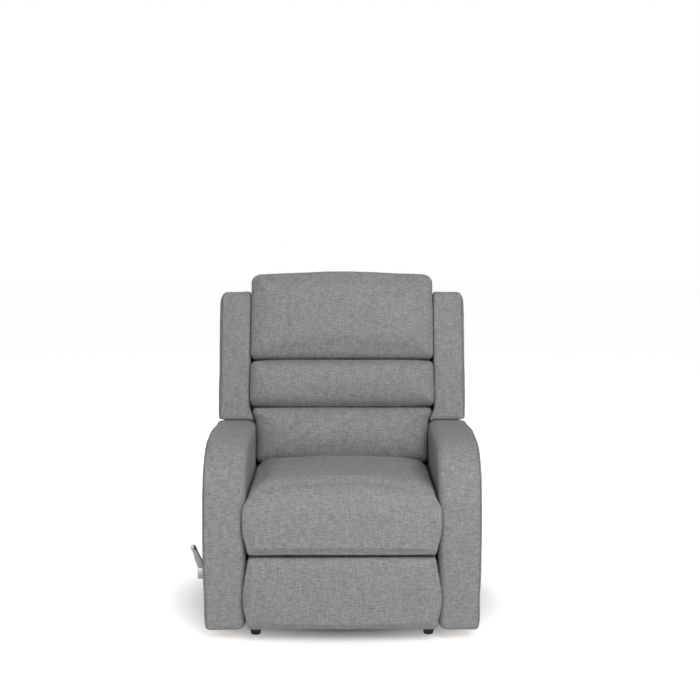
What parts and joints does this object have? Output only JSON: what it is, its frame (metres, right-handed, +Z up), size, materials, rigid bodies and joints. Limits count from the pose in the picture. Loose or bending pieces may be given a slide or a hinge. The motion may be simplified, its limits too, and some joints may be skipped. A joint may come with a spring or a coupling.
{
  "type": "recliner armchair",
  "caption": "Padded grey armchair with a reclining back, a fold-out footrest and a hand lever beside one arm.",
  "frame": {"origin": "on the floor, midway between the arms and about midway between the front and the rear of the chair", "axes": "+X to the right as seen from the front, +Y to the rear, +Z up; the chair faces -Y"},
  "size_m": [0.8789, 0.8499, 1.0722],
  "materials": {
    "grey_fabric": "plain woven upholstery, matte, with a fine flecked weave",
    "mechanism_steel": "black powder coat, satin",
    "pin_steel": "bright zinc plate",
    "lever_metal": "satin metal, lightly brushed along its length",
    "black_plastic": "black moulded plastic, matte",
    "frame_wood": "bare plywood and softwood",
    "elastic_strap": "woven elastic webbing, black"
  },
  "bodies": {
    "root": {"base_rail_left": "mechanism_steel", "base_rail_right": "mechanism_steel", "cross_tubes": "mechanism_steel", "feet": "black_plastic", "side_plate_left": "mechanism_steel", "side_plate_right": "mechanism_steel", "back_hinge_plate_left": "mechanism_steel", "back_hinge_plate_right": "mechanism_steel", "arm_cleats": "frame_wood", "plate_bolts": "pin_steel", "pivot_pins": "pin_steel", "shaft_bushes": "black_plastic", "seat_front_rail": "frame_wood", "seat_rear_rail": "frame_wood", "seat_side_rails": "frame_wood", "seat_webbing": "elastic_strap", "rear_skirt": "grey_fabric", "arm_frame_left": "frame_wood", "arm_frame_right": "frame_wood", "arm_cover_left": "grey_fabric", "arm_cover_right": "grey_fabric", "seat_cushion": "grey_fabric"},
    "lever": {"lever_handle": "lever_metal", "lever_hub": "lever_metal", "lever_shaft": "pin_steel", "drive_cranks": "mechanism_steel", "crank_pins": "pin_steel"},
    "drive_rods": {"drive_rods": "mechanism_steel"},
    "rear_links": {"rear_link_left": "mechanism_steel", "rear_link_right": "mechanism_steel", "rear_link_pins": "pin_steel"},
    "front_links": {"front_link_left": "mechanism_steel", "front_link_right": "mechanism_steel", "front_link_pins": "pin_steel"},
    "upper_links": {"upper_link_left": "mechanism_steel", "upper_link_right": "mechanism_steel", "upper_link_pins": "pin_steel"},
    "lower_links": {"lower_link_left": "mechanism_steel", "lower_link_right": "mechanism_steel"},
    "footrest": {"footrest_cushion": "grey_fabric", "footrest_board": "frame_wood", "footrest_bracket_left": "mechanism_steel", "footrest_bracket_right": "mechanism_steel", "footrest_pins": "pin_steel"},
    "back": {"back_hinge_arm_left": "mechanism_steel", "back_hinge_arm_right": "mechanism_steel", "back_post_left": "frame_wood", "back_post_right": "frame_wood", "back_lower_rail": "frame_wood", "back_middle_rail": "frame_wood", "back_top_rail": "frame_wood", "back_webbing": "elastic_strap", "lower_back_cushion": "grey_fabric", "lumbar_cushion": "grey_fabric", "headrest_cushion": "grey_fabric", "wing_left": "grey_fabric", "wing_right": "grey_fabric", "outside_back_panel": "grey_fabric", "back_side_panels": "grey_fabric", "back_top_roll": "grey_fabric"}
  },
  "joints": [
    {"name": "footrest_fold", "type": "hinge", "parent": "root", "child": "rear_links", "pos_m": [0, -0.2283, 0.263], "axis": [-1, 0, 0], "range_deg": [0, 88]},
    {"name": "front_link_pivot", "type": "hinge", "parent": "root", "child": "front_links", "pos_m": [0, -0.27853, 0.29451], "axis": [-1, 0, 0], "range_deg": [0, 88]},
    {"name": "upper_link_pivot", "type": "hinge", "parent": "rear_links", "child": "upper_links", "pos_m": [0, -0.15968, 0.094], "axis": [-1, 0, 0], "range_deg": [-88, 0]},
    {"name": "lower_link_pivot", "type": "hinge", "parent": "front_links", "child": "lower_links", "pos_m": [0, -0.1946, 0.0878], "axis": [-1, 0, 0], "range_deg": [-88, 0]},
    {"name": "footrest_pivot", "type": "hinge", "parent": "upper_links", "child": "footrest", "pos_m": [0, -0.36333, 0.22175], "axis": [-1, 0, 0], "range_deg": [0, 88]},
    {"name": "lever_turn", "type": "hinge", "parent": "root", "child": "lever", "pos_m": [0, -0.105, 0.125], "axis": [-1, 0, 0], "range_deg": [0, 88]},
    {"name": "drive_rod_pivot", "type": "hinge", "parent": "lever", "child": "drive_rods", "pos_m": [0, -0.08167, 0.06756], "axis": [-1, 0, 0], "range_deg": [-88, 0]},
    {"name": "back_recline", "type": "hinge", "parent": "root", "child": "back", "pos_m": [0, 0.06, 0.395], "axis": [-1, 0, 0], "range_deg": [0, 32]}
  ],
  "couplings": [
    {"joint": "front_link_pivot", "follows": "footrest_fold", "ratio": 1},
    {"joint": "upper_link_pivot", "follows": "footrest_fold", "ratio": -1},
    {"joint": "lower_link_pivot", "follows": "footrest_fold", "ratio": -1},
    {"joint": "footrest_pivot", "follows": "footrest_fold", "ratio": 1},
    {"joint": "lever_turn", "follows": "footrest_fold", "ratio": 1},
    {"joint": "drive_rod_pivot", "follows": "footrest_fold", "ratio": -1}
  ]
}
